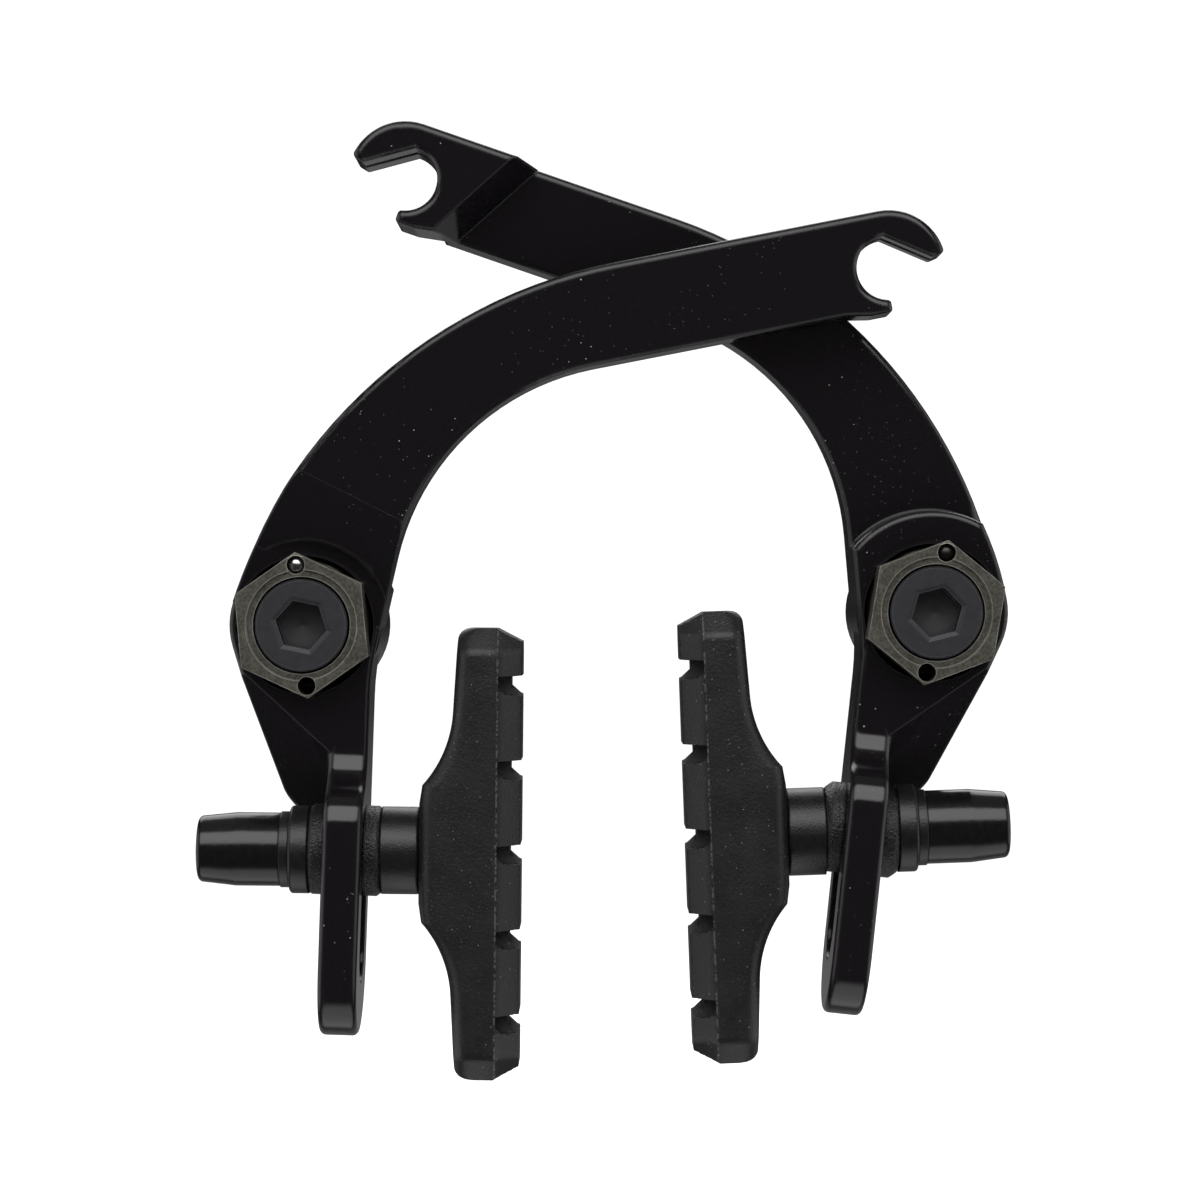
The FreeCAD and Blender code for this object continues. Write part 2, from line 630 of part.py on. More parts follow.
def front_arm():
    """Arm on the left pivot. Its bar passes in front and falls to a round flat under the nut."""
    back = size("front_bar_back")
    bar = upper_bar("front", 1, "front_bar_back", back)
    crease = Vector(size("scoop_across"), size("scoop_up"), back + size("bar_thickness"))
    fall = slope("front_fall", crease, polar(PIVOT, 1, 270 - size("scoop_drop")), size("scoop_lean"), 1)
    above = cylinder("front_above", "outer_radius", "boss_length", "2 * boss_length")
    fallen = cut("front_bar_fallen", bar, common("front_fall_above", fall, above))
    solid = fuse("front_solid", *lower_arm("front", 1, "web_top"), fallen)
    scoop = cylinder("front_flat", "scoop_inner", "boss_length", "2 * boss_length")
    tools = pivot_tools("front", 1, "front_nut_turn", "front_arm_turn")
    groove = cable_slot("front", 1, back + size("bar_thickness") / 2)
    return cut("front_arm", solid, scoop, *tools, *groove)


def rear_arm():
    """Arm on the right pivot. Its bar passes behind and its hook end steps forward."""
    back = size("front_bar_back") - size("bar_gap") - size("bar_thickness")
    bar = upper_bar("rear", -1, "front_bar_back - bar_gap - bar_thickness", back)
    hook, relief = raised_hook("rear", -1, back)
    solid = fuse("rear_solid", *lower_arm("rear", -1, "boss_top"), cut("rear_bar_relieved", bar, relief), hook)
    tools = pivot_tools("rear", -1, "rear_nut_turn", "rear_arm_turn")
    middle = back + (size("bar_thickness") + size("hook_rise") + size("hook_relief")) / 2
    return cut("rear_arm", solid, *tools, *cable_slot("rear", -1, middle))


# Pieces on each pivot, from the frame plane forward.

def pivot_bolt(name):
    """Socket head bolt that goes through the nut into the frame's stud."""
    seat = "boss_length + nut_gap + nut_height - nut_seat_depth"
    top = f"{seat} + bolt_head_height"
    head = cylinder(name + "_head", "bolt_head_radius", seat, top)
    top_level = size("boss_length") + size("nut_gap") + size("nut_height") \
        - size("nut_seat_depth") + size("bolt_head_height")
    head = rounded(name + "_rim", head, size("bolt_head_round"),
                   circle_edge_at(top_level, size("bolt_head_radius")))
    shoulder = cylinder(name + "_shoulder", "bolt_shoulder_radius", "bush_length + collar_gap",
                        f"{seat} + bolt_head_round")
    thread = cylinder(name + "_thread", "bolt_radius", "bolt_tip_bevel", "bush_length + bolt_tip_bevel")
    tip = cone(name + "_tip", "bolt_radius - bolt_tip_bevel", "bolt_radius", "0", "bolt_tip_bevel")
    solid = fuse(name + "_solid", head, shoulder, thread, tip)
    socket = hexagon(name + "_socket", "key_across", f"{top} - key_depth", f"{top} + key_depth")
    return cut(name, solid, socket)


def pivot_bush(name):
    """Sleeve on the frame's stud that the arm turns on."""
    outside = cylinder(name + "_outside", "bore_radius - bush_play", "0", "bush_length")
    inside = cylinder(name + "_inside", "bore_radius - bush_play - bush_wall", "-bush_length",
                      "2 * bush_length")
    return cut(name, outside, inside)


def tension_nut(name):
    """Hexagon nut that winds the spring: counterbored for the bolt, with two holes for the wire."""
    base = "boss_length + nut_gap"
    top = f"{base} + nut_height"
    body = hexagon(name + "_hexagon", "nut_across", base, top, turn=90)
    slope_run = f"({top}) - nut_bevel"
    bevel = cone(name + "_bevel", "nut_face_radius + nut_bevel * sqrt(3)", "nut_face_radius",
                 slope_run, top)
    barrel = cylinder(name + "_below", "nut_face_radius + nut_bevel * sqrt(3)", base, slope_run)
    trimmed = common(name + "_trimmed", body, fuse(name + "_turned", barrel, bevel))
    collar = cylinder(name + "_collar", "bore_radius - bush_play", "bush_length + collar_gap",
                      f"{base} + nut_bevel")
    solid = fuse(name + "_solid", trimmed, collar)
    bore = cylinder(name + "_bore", "bolt_shoulder_radius + nut_bore_play", "0", f"{top} + nut_height")
    seat = cylinder(name + "_seat", "bolt_head_radius + nut_seat_play", f"({top}) - nut_seat_depth",
                    f"{top} + nut_height")
    ring = cylinder(name + "_ring", "nut_ring_radius", f"({top}) - nut_ring_depth",
                    f"{top} + nut_height")
    holes = []
    for number, way in enumerate((1, -1), start=1):
        hole = cylinder(f"{name}_hole_{number}", "wire_radius + spring_hole_play", base + " - nut_height",
                        f"{top} + nut_height")
        hole.setExpression("Placement.Base.y", expr(f"{way} * spring_radius"))
        holes.append(hole)
    return cut(name, solid, bore, seat, ring, *holes)


def return_spring(name, left_hand):
    """Coil round the nut's collar, with one end through the nut and the other in the arm."""
    wire = size("wire_radius")
    floor = size("boss_length") - size("cavity_depth")
    low = floor + wire + size("spring_float")
    high = size("boss_length") - wire - size("spring_float")
    line_of_coil = Part.makeHelix((high - low) / size("spring_turns"), high - low,
                                  size("spring_radius"), 0, left_hand)
    line_of_coil.translate(FORWARD * low)
    edge = line_of_coil.Edges[0]
    start = edge.valueAt(edge.FirstParameter)
    section = Part.Wire([Part.makeCircle(wire, start, edge.tangentAt(edge.FirstParameter))])
    coil = Part.Wire(line_of_coil.Edges).makePipeShell([section], True, True)
    foot = floor - size("spring_foot")
    nose = size("boss_length") + size("nut_gap") + size("nut_height") - size("wire_end_recess")
    side = Vector(size("spring_radius"), 0, 0)
    upper_start = high - wire / 2
    lower_end = low + wire / 2
    upper = Part.makeCylinder(size("wire_end_radius"), nose - upper_start, side + FORWARD * upper_start)
    lower = Part.makeCylinder(size("wire_end_radius"), lower_end - foot, side + FORWARD * foot)
    item = doc.addObject("Part::Feature", name)
    item.Shape = coil.fuse([upper, lower]).Solids[0]
    return item


# Pieces on each pad post, along the post from the ball's centre. The ones outside the ear are made
# the same way round and then turned to face outwards.

def ball_washer(name):
    """Flat on the ear, round on the side that faces its cup."""
    base = "ear_thickness / 2 + washer_float"
    body = cylinder(name + "_body", "ball_washer_radius", base, "ball_radius")
    dome = common(name + "_dome", body, ball(name + "_ball", "ball_radius"))
    return cut(name, dome, cylinder(name + "_bore", "ball_bore_radius", "0", "2 * ball_radius"))


def cup_washer(name, face):
    """Hollow on the side that faces its ball, flat on the other."""
    body = cylinder(name + "_body", "cup_radius", "ear_thickness / 2", face)
    body = rounded(name + "_rim", body, size("cup_round"),
                   circle_edge_at(size(face), size("cup_radius")))
    hollow = ball(name + "_hollow", "ball_radius + ball_play")
    return cut(name, body, hollow, cylinder(name + "_bore", "post_radius + post_play", "0",
                                            "spacer_face + outer_cup_face"))


def flat_washer(name):
    base = "outer_cup_face + washer_float"
    body = cylinder(name + "_body", "flat_washer_radius", base, f"{base} + flat_washer_height")
    return cut(name, body, cylinder(name + "_bore", "post_radius + post_play", "0",
                                    f"{base} + 2 * flat_washer_height"))


def barrel_nut(name):
    """Long round nut with a tapered end and a key socket."""
    base = "outer_cup_face + flat_washer_height + 2 * washer_float"
    shoulder = f"{base} + barrel_length - barrel_taper_length"
    end = f"{base} + barrel_length"
    body = cylinder(name + "_body", "barrel_radius", base, shoulder)
    taper = cone(name + "_taper", "barrel_radius", "barrel_end_radius", shoulder, end)
    end_level = size("outer_cup_face") + size("flat_washer_height") + 2 * size("washer_float") \
        + size("barrel_length")
    taper = rounded(name + "_rim", taper, size("barrel_round"),
                    circle_edge_at(end_level, size("barrel_end_radius")))
    thread = cylinder(name + "_thread", "post_radius + thread_play", "0",
                      f"{end} - barrel_socket_depth")
    socket = hexagon(name + "_socket", "key_across", f"{end} - barrel_socket_depth",
                     f"{end} + barrel_socket_depth")
    return cut(name, fuse(name + "_solid", body, taper), thread, socket)


POST_HEAD = "spacer_face + washer_float + post_flange_cover"


def post_solid(name, suffix=""):
    """Threaded post with the round head that the pad is moulded over."""
    shank = cylinder(f"{name}_shank{suffix}", "post_radius", "-post_end", POST_HEAD + " + post_flange / 2")
    head = cylinder(f"{name}_head{suffix}", "post_flange_radius", POST_HEAD, POST_HEAD + " + post_flange")
    return fuse(name + suffix, shank, head)


def pad_curves():
    """Pad seen from the front: straight braking face, bevelled ends and a thick middle."""
    half = size("pad_length") / 2
    back = size("pad_back")
    face = size("pad_face")
    middle = size("spacer_face") + size("washer_float")
    corner = size("pad_corner")
    end_back = Vector(back, half - corner, 0)
    sweep_top = Vector(size("pad_root"), size("pad_sweep_start"), 0)
    sweep_low = Vector(size("pad_sweep_back"), size("pad_sweep_end"), 0)
    boss_edge = Vector(middle, size("pad_boss_half"), 0)
    upper = [
        line(Vector(face, 0, 0), Vector(face, half - size("end_bevel_up"), 0)),
        line(Vector(face, half - size("end_bevel_up"), 0), Vector(face - size("end_bevel_in"), half, 0)),
        line(Vector(face - size("end_bevel_in"), half, 0), Vector(back + corner, half, 0)),
        arc(Vector(back + corner, half, 0), Vector(back + corner, half - corner, 0),
            end_back, 1),
        line(end_back, sweep_top),
        arc_from(end_back, sweep_top, sweep_low),
        line(sweep_low, boss_edge),
        line(boss_edge, Vector(middle, 0, 0)),
    ]
    lower = [tuple(Vector(point.x, -point.y, 0) for point in curve) for curve in upper]
    return upper + lower


def pad_section_curves():
    """Pad seen along its length: bevelled on both sides of the braking face."""
    half = size("pad_depth") / 2
    face = size("pad_face")
    shoulder = face - size("face_bevel_in")
    crown = half - size("face_bevel_side")
    corners = [(-half, 0), (half, 0), (half, shoulder), (crown, face), (-crown, face), (-half, shoulder)]
    points = [Vector(x, y, 0) for x, y in corners]
    return [line(start, end) for start, end in zip(points, points[1:] + points[:1])]


def brake_pad(name):
    """Moulded rubber pad with water grooves across its braking face."""
    outline = sketch(name + "_outline", pad_curves(), UPRIGHT)
    body = extrude(name + "_body", outline, "pad_depth", symmetric=True)
    side = size("pad_depth") / 2
    bevel_start = size("pad_face") - size("end_bevel_in")

    def long_edges(edge):
        box = edge.BoundBox
        on_side = box.XLength < 1e-4 and abs(abs(box.XMin) - side) < 1e-3
        return on_side and box.ZMin < bevel_start - 1e-3
    body = rounded(name + "_edges", body, size("pad_edge"), long_edges)
    across = Rotation(Vector(1, 0, 0), 90)
    section = sketch(name + "_section_outline", pad_section_curves(), across)
    bar = extrude(name + "_section", section, "2 * pad_length", symmetric=True)
    solid = common(name + "_solid", body, bar)
    tools = [post_solid(name + "_post", "_tool")]
    for number, step in enumerate(GROOVE_STEPS, start=1):
        for label, depth, start, width in (
                ("middle", "groove_depth", "-pad_depth", "2 * pad_depth"),
                ("front", "groove_end_depth", "-pad_depth", "pad_depth / 2 + face_bevel_side"),
                ("rear", "groove_end_depth", "pad_depth / 2 - face_bevel_side", "pad_depth")):
            notch = doc.addObject("Part::Box", f"{name}_groove_{number}_{label}")
            bind(notch, Length=width, Width="groove_width", Height=f"2 * {depth}")
            notch.setExpression("Placement.Base.x", expr(start))
            notch.setExpression("Placement.Base.y", expr(f"{step} * groove_pitch - groove_width / 2"))
            tools.append(lift(notch, f"pad_face - {depth}"))
    return cut(name, solid, *tools)


# Where everything goes. Each arm hangs on its pivot and carries its own pad.

FACING = Rotation(Vector(1, 0, 0), 90)


def pivot_place(side):
    return Placement(Vector(-side * size("stud_spacing") / 2, 0, 0), FACING)


def turned(degrees):
    return Placement(Vector(), Rotation(FORWARD, degrees))


def arm_place(side, arm_turn):
    return pivot_place(side).multiply(turned(side * size(arm_turn)))


def post_place(side, arm_turn, camber):
    centre = Vector(side * size("ear_across"), -size("post_drop"),
                    size("ear_front") - size("ear_width") / 2)
    inward = Rotation(Vector(0, 0, -side), Vector(0, 1, 0), Vector(side, 0, 0), "XYZ")
    lean = Rotation(FORWARD, side * camber)
    return arm_place(side, arm_turn).multiply(Placement(centre, lean.multiply(inward)))


OUTWARDS = Placement(Vector(), Rotation(Vector(0, 1, 0), 180))
pieces = []


def place(item, where):
    item.Placement = where
    item.Label = item.Name
    pieces.append(item)


place(front_arm(), arm_place(1, "front_arm_turn"))
place(rear_arm(), arm_place(-1, "rear_arm_turn"))
for hand, side, arm_turn, nut_turn, camber in (
        ("left", 1, "front_arm_turn", "front_nut_turn", "front_pad_camber"),
        ("right", -1, "rear_arm_turn", "rear_nut_turn", "rear_pad_camber")):
    pivot = pivot_place(side)
    wound = turned(size(nut_turn))
    place(pivot_bolt(hand + "_pivot_bolt"), pivot.multiply(wound))
    place(pivot_bush(hand + "_pivot_bush"), pivot)
    place(tension_nut(hand + "_tension_nut"), pivot.multiply(wound))
    place(return_spring(hand + "_return_spring", side < 0), pivot.multiply(turned(90 + size(nut_turn))))
    post = post_place(side, arm_turn, size(camber))
    level = post_place(side, arm_turn, 0)
    place(ball_washer(hand + "_inner_ball_washer"), level)
    place(ball_washer(hand + "_outer_ball_washer"), level.multiply(OUTWARDS))
    place(cup_washer(hand + "_spacer_cup", "spacer_face"), post)
    place(cup_washer(hand + "_outer_cup", "outer_cup_face"), post.multiply(OUTWARDS))
    place(flat_washer(hand + "_flat_washer"), post.multiply(OUTWARDS))
    place(barrel_nut(hand + "_barrel_nut"), post.multiply(OUTWARDS))
    place(post_solid(hand + "_pad_post"), post)
    place(brake_pad(hand + "_brake_pad"), post)
doc.recompute()

faults = [item.Name for item in doc.Objects if "Invalid" in item.State or "Error" in item.State]
faults += [item.Name for item in pieces if item.Shape.isNull() or not item.Shape.isValid()]
faults += [item.Name for item in pieces if len(item.Shape.Solids) != 1]
if faults:
    raise RuntimeError("not built: " + ", ".join(sorted(set(faults))))

os.makedirs("parts", exist_ok=True)
for item in pieces:
    item.Shape.exportStep(f"parts/{item.Label}.step")
    print(item.Label, round(item.Shape.Volume, 2))
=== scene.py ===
import json
import math
import bmesh
import bpy
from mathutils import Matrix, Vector


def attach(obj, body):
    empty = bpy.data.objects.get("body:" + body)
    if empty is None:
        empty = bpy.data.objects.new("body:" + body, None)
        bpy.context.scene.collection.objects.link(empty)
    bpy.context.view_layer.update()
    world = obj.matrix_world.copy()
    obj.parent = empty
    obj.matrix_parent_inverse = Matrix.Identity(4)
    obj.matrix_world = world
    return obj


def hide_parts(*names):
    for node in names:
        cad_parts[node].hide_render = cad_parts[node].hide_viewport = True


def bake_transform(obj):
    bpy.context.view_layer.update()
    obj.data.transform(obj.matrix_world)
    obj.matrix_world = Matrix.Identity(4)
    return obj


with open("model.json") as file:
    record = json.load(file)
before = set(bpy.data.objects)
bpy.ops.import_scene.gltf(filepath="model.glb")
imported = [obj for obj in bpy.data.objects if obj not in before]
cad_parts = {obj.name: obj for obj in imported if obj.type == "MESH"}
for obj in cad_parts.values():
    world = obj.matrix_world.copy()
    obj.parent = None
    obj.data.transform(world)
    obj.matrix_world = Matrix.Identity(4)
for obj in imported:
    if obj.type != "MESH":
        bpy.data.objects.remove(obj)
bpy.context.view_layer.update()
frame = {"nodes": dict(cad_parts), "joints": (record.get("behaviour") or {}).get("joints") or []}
parts = frame["nodes"]
joints = {joint["name"]: joint for joint in frame["joints"]}


# Pivot bushes: bearing bronze sleeves that slide over the frame's studs, and that the arms turn on.
# They are turned from bar and carry a film of grease, so the colour is uneven.

class Wire:
    """One socket in a finish's node tree. Sums written with it become Math nodes."""

    def __init__(self, tree, socket=None):
        self.tree = tree
        self.socket = socket

    def node(self, kind, settings, inputs, out=0):
        """Add a node: its settings first, then a value or a link for each of its sockets."""
        made = self.tree.nodes.new(kind)
        for name, value in settings.items():
            setattr(made, name, value)
        for key, value in inputs.items():
            if isinstance(value, Wire):
                self.tree.links.new(value.socket, made.inputs[key])
            else:
                made.inputs[key].default_value = value
        return Wire(self.tree, made.outputs[out])

    def sum(self, operation, first, second):
        return self.node("ShaderNodeMath", {"operation": operation}, {0: first, 1: second})

    def __add__(self, other):
        return self.sum("ADD", self, other)

    def __sub__(self, other):
        return self.sum("SUBTRACT", self, other)

    def __rsub__(self, other):
        return self.sum("SUBTRACT", other, self)

    def __mul__(self, other):
        return self.sum("MULTIPLY", self, other)

    def __lt__(self, other):
        return self.sum("LESS_THAN", self, other)

    def __gt__(self, other):
        return self.sum("GREATER_THAN", self, other)

    __radd__ = __add__
    __rmul__ = __mul__

    def between(self, first, second):
        """Go from the first colour to the second as this value goes from 0 to 1."""
        return self.node("ShaderNodeMix", {"data_type": "RGBA"}, {0: self, 6: first, 7: second}, 2)

    def noise(self, scale, detail=3.0, stretch=(1, 1, 1)):
        """Cloudy value between 0 and 1, with so many lumps to the metre."""
        place = self.node("ShaderNodeTexCoord", {}, {}, "Object")
        place = self.node("ShaderNodeVectorMath", {"operation": "MULTIPLY"}, {0: place, 1: stretch})
        return self.node("ShaderNodeTexNoise", {}, {"Vector": place, "Scale": scale, "Detail": detail})

    def to(self, shader, socket):
        self.tree.links.new(self.socket, shader.inputs[socket])

    def soft_edge(self, radius):
        """Normals that run smoothly round every edge, as if it had been rubbed to this radius."""
        return self.node("ShaderNodeBevel", {"samples": 6}, {"Radius": radius})

    def edges(self, radius, low, high):
        """1 along the edges and creases and 0 on the faces between them; it marks real wear on the nuts,
        and painted highlights on the arms and bolts.
        """
        flat = self.node("ShaderNodeNewGeometry", {}, {}, "Normal")
        soft = self.soft_edge(radius)
        alike = self.node("ShaderNodeVectorMath", {"operation": "DOT_PRODUCT"}, {0: soft, 1: flat}, "Value")
        return self.fading(1 - alike, low, high, 1.0)

    def fading(self, value, start, end, most):
        """Rise smoothly from 0 to the most that is given, as the value goes from start to end."""
        sockets = {"Value": value, "From Min": start, "From Max": end, "To Min": 0.0, "To Max": most}
        return self.node("ShaderNodeMapRange", {"interpolation_type": "SMOOTHSTEP"}, sockets)

    def bump(self, shader, strength, height, edges=None):
        """Let this value stand up from the surface by a height in metres."""
        inputs = {"Strength": strength, "Distance": height, "Height": self}
        if edges:
            inputs["Normal"] = edges
        self.node("ShaderNodeBump", {}, inputs).to(shader, "Normal")

    def specks(self, cells, reach):
        """One small round dot in each cell, with so many cells to the metre."""
        place = self.node("ShaderNodeTexCoord", {}, {}, "Object")
        return self.node("ShaderNodeTexVoronoi", {}, {"Vector": place, "Scale": cells}, "Distance") < reach


def new_finish(name, **constants):
    """A material with its shader's fixed values, and the start of its node tree."""
    material = bpy.data.materials.new(name)
    material.use_nodes = True
    shader = material.node_tree.nodes["Principled BSDF"]
    for socket, value in constants.items():
        shader.inputs[socket.replace("_", " ")].default_value = value
    return material, shader, Wire(material.node_tree)


def wear(piece, material):
    piece.data.materials.clear()
    piece.data.materials.append(material)


bronze, shader, tree = new_finish("bearing_bronze", Metallic=1.0)
grease = tree.noise(300)
grease.between((0.42, 0.28, 0.13, 1), (0.20, 0.13, 0.065, 1)).to(shader, "Base Color")
(0.28 + 0.2 * grease).to(shader, "Roughness")
for side in ("left", "right"):
    wear(parts[side + "_pivot_bush"], bronze)

# Return springs: three turns of oil-tempered wire round each nut's collar, inside the boss.
# One end stands forward through the nut, bright from the shears on the left and given the dark
# oiled finish on the right as painted shade; the other end sits in a hole in the arm.
oiled_wire, shader, tree = new_finish("oiled_wire", Metallic=1.0)
drawn = tree.noise(2500, 2.0)
drawn.between((0.035, 0.033, 0.03, 1), (0.08, 0.078, 0.075, 1)).to(shader, "Base Color")
(0.3 + 0.15 * drawn).to(shader, "Roughness")
sheared_wire, shader, tree = new_finish("sheared_wire", Metallic=1.0)
burr = tree.noise(1400, 3.0)
burr.between((0.8, 0.8, 0.8, 1), (0.5, 0.5, 0.51, 1)).to(shader, "Base Color")
(0.12 + 0.14 * burr).to(shader, "Roughness")
burr.bump(shader, 0.5, 0.0002)

WIRE = 0.00075
COIL = 0.0067
COIL_LOW, COIL_HIGH = 0.01185, 0.01715
ARM_END = 0.0084
COIL_TURNS = 3
STEPS_PER_TURN = 40
TIP_REACH, TIP_SHOULDER = 0.75, 19.6
DOME_REACH, DOME_START, DOME_HIGH = 0.84, 21.5, 0.5
DOME_STEPS = 8
RING_POINTS = 48
MM = 0.001
FORWARD = Vector((0, -1, 0))
UP = Vector((0, 0, 1))


def wire_tube(name, path):
    """Round wire with flat closed ends along a line of points."""
    line = bpy.data.curves.new(name, "CURVE")
    line.dimensions = "3D"
    line.bevel_depth = WIRE
    line.bevel_resolution = 5
    line.use_fill_caps = True
    spline = line.splines.new("POLY")
    spline.points.add(len(path) - 1)
    for point, place in zip(spline.points, path):
        point.co = (*place, 1)
    soft = bpy.data.objects.new(name + "_line", line)
    mesh = bpy.data.meshes.new_from_object(soft)
    bpy.data.objects.remove(soft)
    piece = bpy.data.objects.new(name, mesh)
    bpy.context.scene.collection.objects.link(piece)
    for face in mesh.polygons:
        face.use_smooth = True
    return piece


def round_ring(base, forward, up, along, reach):
    """Points round an axis, in millimetres along it. The reach may be a rule for each share of a turn."""
    points = []
    for step in range(RING_POINTS):
        angle = 2 * math.pi * step / RING_POINTS
        out = up * math.cos(angle) + forward.cross(up) * math.sin(angle)
        here = reach(step / RING_POINTS) if callable(reach) else reach
        points.append(base + (forward * along + out * here) * MM)
    return points


def lofted(name, rings, sharp):
    """Closed skin over rings of points, capped at both ends, with edges kept where it turns sharply."""
    shape = bmesh.new()
    rows = [[shape.verts.new(point) for point in ring] for ring in rings]
    for row, following in zip(rows, rows[1:]):
        turned = row[1:] + row[:1]
        turned_following = following[1:] + following[:1]
        for corners in zip(row, turned, turned_following, following):
            shape.faces.new(corners)
    shape.faces.new(rows[0])
    shape.faces.new(rows[-1])
    bmesh.ops.recalc_face_normals(shape, faces=shape.faces)
    for face in shape.faces:
        face.smooth = True
    for side_edge in shape.edges:
        side_edge.smooth = side_edge.calc_face_angle(0.0) < math.radians(sharp)
    mesh = bpy.data.meshes.new(name)
    shape.to_mesh(mesh)
    shape.free()
    piece = bpy.data.objects.new(name, mesh)
    bpy.context.scene.collection.objects.link(piece)
    return piece


def on_coil(pivot, nut_turn, turns, depth):
    """Place on the coil, after some turns from the nut's upper hole. Turns to the left count below 0."""
    angle = math.radians(90 + nut_turn) + 2 * math.pi * turns
    return pivot + Vector((COIL * math.cos(angle), -depth, COIL * math.sin(angle)))


# The right end's darker oiled finish is painted shade, where that end looks darker.
for side, nut_turn, hand, end_finish in (("left", 4.0, -1, sheared_wire), ("right", -10.5, 1, oiled_wire)):
    pivot = Vector(joints[side + "_arm_swing"]["pos_m"])
    turns = hand * COIL_TURNS
    steps = STEPS_PER_TURN * COIL_TURNS
    coil = [on_coil(pivot, nut_turn, turns, ARM_END), on_coil(pivot, nut_turn, turns, COIL_LOW - 2 * WIRE)]
    for step in range(steps + 1):
        share = step / steps
        depth = COIL_LOW + (COIL_HIGH - COIL_LOW) * share
        coil.append(on_coil(pivot, nut_turn, turns * (1 - share), depth))
    spring = wire_tube(side + "_spring_coil", coil)
    wear(spring, oiled_wire)
    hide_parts(side + "_return_spring")
    side + "_arm"
    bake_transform(spring)
    tip = on_coil(pivot, nut_turn, 0, 0)
    rings = [round_ring(tip, FORWARD, UP, 1000 * COIL_HIGH, TIP_REACH),
             round_ring(tip, FORWARD, UP, TIP_SHOULDER, TIP_REACH)]
    for step in range(DOME_STEPS):
        angle = math.pi / 2 * step / (DOME_STEPS - 0.9)
        rings.append(round_ring(tip, FORWARD, UP, DOME_START + DOME_HIGH * math.sin(angle),
                                DOME_REACH * math.cos(angle)))
    tail = lofted(side + "_spring_end", rings, 50)
    wear(tail, end_finish)
    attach(tail, side + "_nut")

# Arms: forged aluminium, tumbled and then finished in a deep gloss black over every face.
# The colour is lighter along edges and creases as a painted highlight; the coat is slightly uneven close
# up, and holds a little dust.
gloss_black, shader, tree = new_finish("gloss_black", Roughness=0.1)
dust = tree.specks(330, 0.035) * (tree.noise(120) > 0.56)
dust = dust + tree.specks(900, 0.06) * (tree.noise(70) > 0.57)
dust = dust + 0.3 * tree.specks(1500, 0.08) * (tree.noise(60) > 0.52)
# Painted highlight: the base colour is lighter along every edge and crease, standing in for the light that
# catches them.
painted_edge_highlight = tree.edges(0.0003, 0.002, 0.014)
coat_and_edge_highlight = painted_edge_highlight.between((0.0042, 0.0036, 0.0042, 1), (0.017, 0.016, 0.018, 1))
dust.between(coat_and_edge_highlight, (0.2, 0.2, 0.19, 1)).to(shader, "Base Color")
ripple = tree.noise(420, 2.0)
ripple.bump(shader, 0.05, 0.00002, tree.soft_edge(0.0006))
wear(parts["front_arm"], gloss_black)
wear(parts["rear_arm"], gloss_black)

# Pivot bolts: steel socket head bolts through the tension nuts into the frame's studs.
# Cold-headed, with a rolled thread and a key socket that is bevelled at its mouth, and blacked.
oxide, shader, tree = new_finish("black_oxide")
grain = tree.noise(1800)
# Painted highlight: the bolt's edges, the head's rim among them, get a lighter colour.
painted_rim_highlight = tree.edges(0.00012, 0.01, 0.12)
blue_black = grain.between((0.006, 0.006, 0.0082, 1), (0.0118, 0.0118, 0.015, 1))
(0.8 * painted_rim_highlight).between(blue_black, (0.07, 0.07, 0.075, 1)).to(shader, "Base Color")
(0.42 + 0.15 * grain).to(shader, "Roughness")
grain.bump(shader, 0.2, 0.00003)

THREAD_DEPTH, THREAD_FLAT = 0.55, 1.25
RINGS_PER_PITCH = 10
THREAD_START, THREAD_STEPS = 0.3, 121
RUN_OUT = 0.2
SHANK, SHOULDER, HEAD = 3.0, 3.4, 5.1
SHOULDER_START, HEAD_START, HEAD_TOP = 13.0, 19.4, 22.6
HEAD_UNDERCUT = 0.15
RIM_DROP, RIM_BEVEL, RIM_FLAT = 0.25, 0.2, 3.9
KEY, KEY_MOUTH, KEY_FLOOR = 5.0, 5.9, 20.0
KEY_BEVEL = 0.16
DRILL, DRILL_TIP, DRILL_DEPTH = 2.1, 0.05, 0.5


def thread_reach(along, outside):
    """Reach of a thread of one millimetre pitch, for each share of a turn."""
    def reach(share):
        flank = abs((along - share) % 1.0 - 0.5) * 2
        return outside - THREAD_DEPTH * min(1.0, THREAD_FLAT * flank)
    return reach


def hexagon_reach(across):
    """Reach of a hexagon with a corner at the start of the turn."""
    return lambda share: across / 2 / math.cos(math.radians(share * 360 % 60 - 30))


for side, corner in (("left", -13), ("right", 13)):
    pivot = Vector(joints[side + "_arm_swing"]["pos_m"])
    up = Vector((math.cos(math.radians(corner)), 0, math.sin(math.radians(corner))))
    profile = [(0.0, SHANK - THREAD_DEPTH)]
    for step in range(THREAD_STEPS):
        along = THREAD_START + step / RINGS_PER_PITCH
        profile.append((along, thread_reach(along, SHANK)))
    profile += [(SHOULDER_START - RUN_OUT, SHANK - THREAD_DEPTH), (SHOULDER_START, SHANK)]
    profile += [(SHOULDER_START, SHOULDER), (HEAD_START, SHOULDER)]
    profile += [(HEAD_START, HEAD - HEAD_UNDERCUT), (HEAD_START + HEAD_UNDERCUT, HEAD)]
    profile += [(HEAD_TOP - RIM_DROP, HEAD), (HEAD_TOP, HEAD - RIM_BEVEL), (HEAD_TOP, RIM_FLAT)]
    profile += [(HEAD_TOP, hexagon_reach(KEY_MOUTH)), (HEAD_TOP - KEY_BEVEL, hexagon_reach(KEY))]
    profile += [(KEY_FLOOR, hexagon_reach(KEY)), (KEY_FLOOR, DRILL), (KEY_FLOOR - DRILL_DEPTH, DRILL_TIP)]
    bolt = lofted(side + "_socket_bolt", [round_ring(pivot, FORWARD, up, *step) for step in profile], 15)
    wear(bolt, oxide)
    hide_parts(side + "_pivot_bolt")
    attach(bolt, "frame_hardware")

